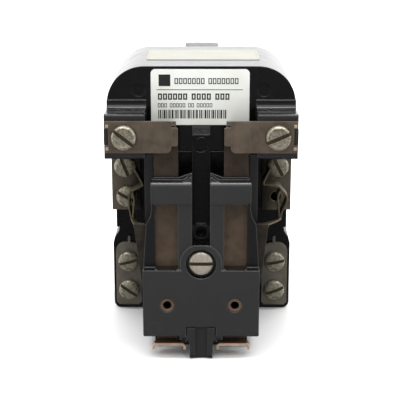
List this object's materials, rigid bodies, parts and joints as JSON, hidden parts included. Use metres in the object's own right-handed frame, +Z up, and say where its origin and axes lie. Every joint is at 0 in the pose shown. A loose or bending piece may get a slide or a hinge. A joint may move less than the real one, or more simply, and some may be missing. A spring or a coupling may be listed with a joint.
{
  "type": "industrial control relay",
  "caption": "Clapper-type control relay: black moulded body with stepped screw terminals, domed top with labels, coil and hinged contact carrier in front.",
  "frame": {"origin": "centre of the bounding box at its base, where the relay stands", "axes": "+Z up, front with the contact carrier faces -Y, mounting plate at +Y, +X to the right seen from the front"},
  "size_m": [0.0634, 0.073, 0.0935],
  "materials": {
    "phenolic": "moulded black phenolic, semi-gloss",
    "carrier_plastic": "moulded dark grey phenolic, satin",
    "nameplate": "printed label, satin",
    "cream_label": "cream paper label",
    "steel_plate": "grey passivated steel",
    "tarnished_copper": "tarnished copper alloy, matt brown",
    "spring_bronze": "dull phosphor bronze",
    "nickel_screw": "nickel plated, worn",
    "bright_copper": "bright worn copper",
    "rivet_copper": "dull copper",
    "silver_contact": "silver contact, lightly tarnished",
    "magnet_steel": "machined soft iron",
    "bobbin_nylon": "moulded ivory nylon",
    "copper_wire": "enamelled copper wire",
    "coil_tape": "varnished cloth tape"
  },
  "bodies": {
    "base": {"base_moulding": "phenolic", "hood": "phenolic", "front_label": "nameplate", "top_label": "cream_label", "mounting_plate": "steel_plate", "plate_screws": "nickel_screw", "hood_screws": "nickel_screw", "front_terminal_left": "tarnished_copper", "front_terminal_right": "tarnished_copper", "front_terminal_screws": "nickel_screw", "common_terminal_left": "tarnished_copper", "common_terminal_right": "tarnished_copper", "common_terminal_screws": "nickel_screw", "rear_contact_left": "tarnished_copper", "rear_contact_right": "tarnished_copper", "rear_terminal_screws": "nickel_screw", "fixed_contact_tips": "silver_contact", "flex_lead_left": "spring_bronze", "flex_lead_right": "spring_bronze", "yoke": "magnet_steel", "yoke_screws": "nickel_screw", "core": "magnet_steel", "core_screw": "nickel_screw", "shading_ring": "bright_copper", "coil_bobbin": "bobbin_nylon", "coil_winding": "copper_wire", "coil_wrap": "coil_tape", "coil_lugs": "nickel_screw", "hinge_pin": "nickel_screw", "return_spring": "nickel_screw"},
    "clapper": {"armature": "magnet_steel", "contact_carrier": "carrier_plastic", "carrier_screw": "nickel_screw", "contact_arm_left": "tarnished_copper", "contact_arm_right": "tarnished_copper", "moving_contact_tips": "silver_contact", "arm_rivets": "rivet_copper", "arm_clip_left": "bright_copper", "arm_clip_right": "bright_copper", "lead_strap_left": "tarnished_copper", "lead_strap_right": "tarnished_copper"}
  },
  "joints": [
    {"name": "clapper_swing", "type": "hinge", "parent": "base", "child": "clapper", "pos_m": [0, -0.0295, 0.005], "axis": [-1, 0, 0], "range_deg": [0, 3], "stiffness_Nm_per_rad": 0.3, "springref_deg": -8.59, "deforming": ["return_spring", "flex_lead_left", "flex_lead_right"]}
  ]
}
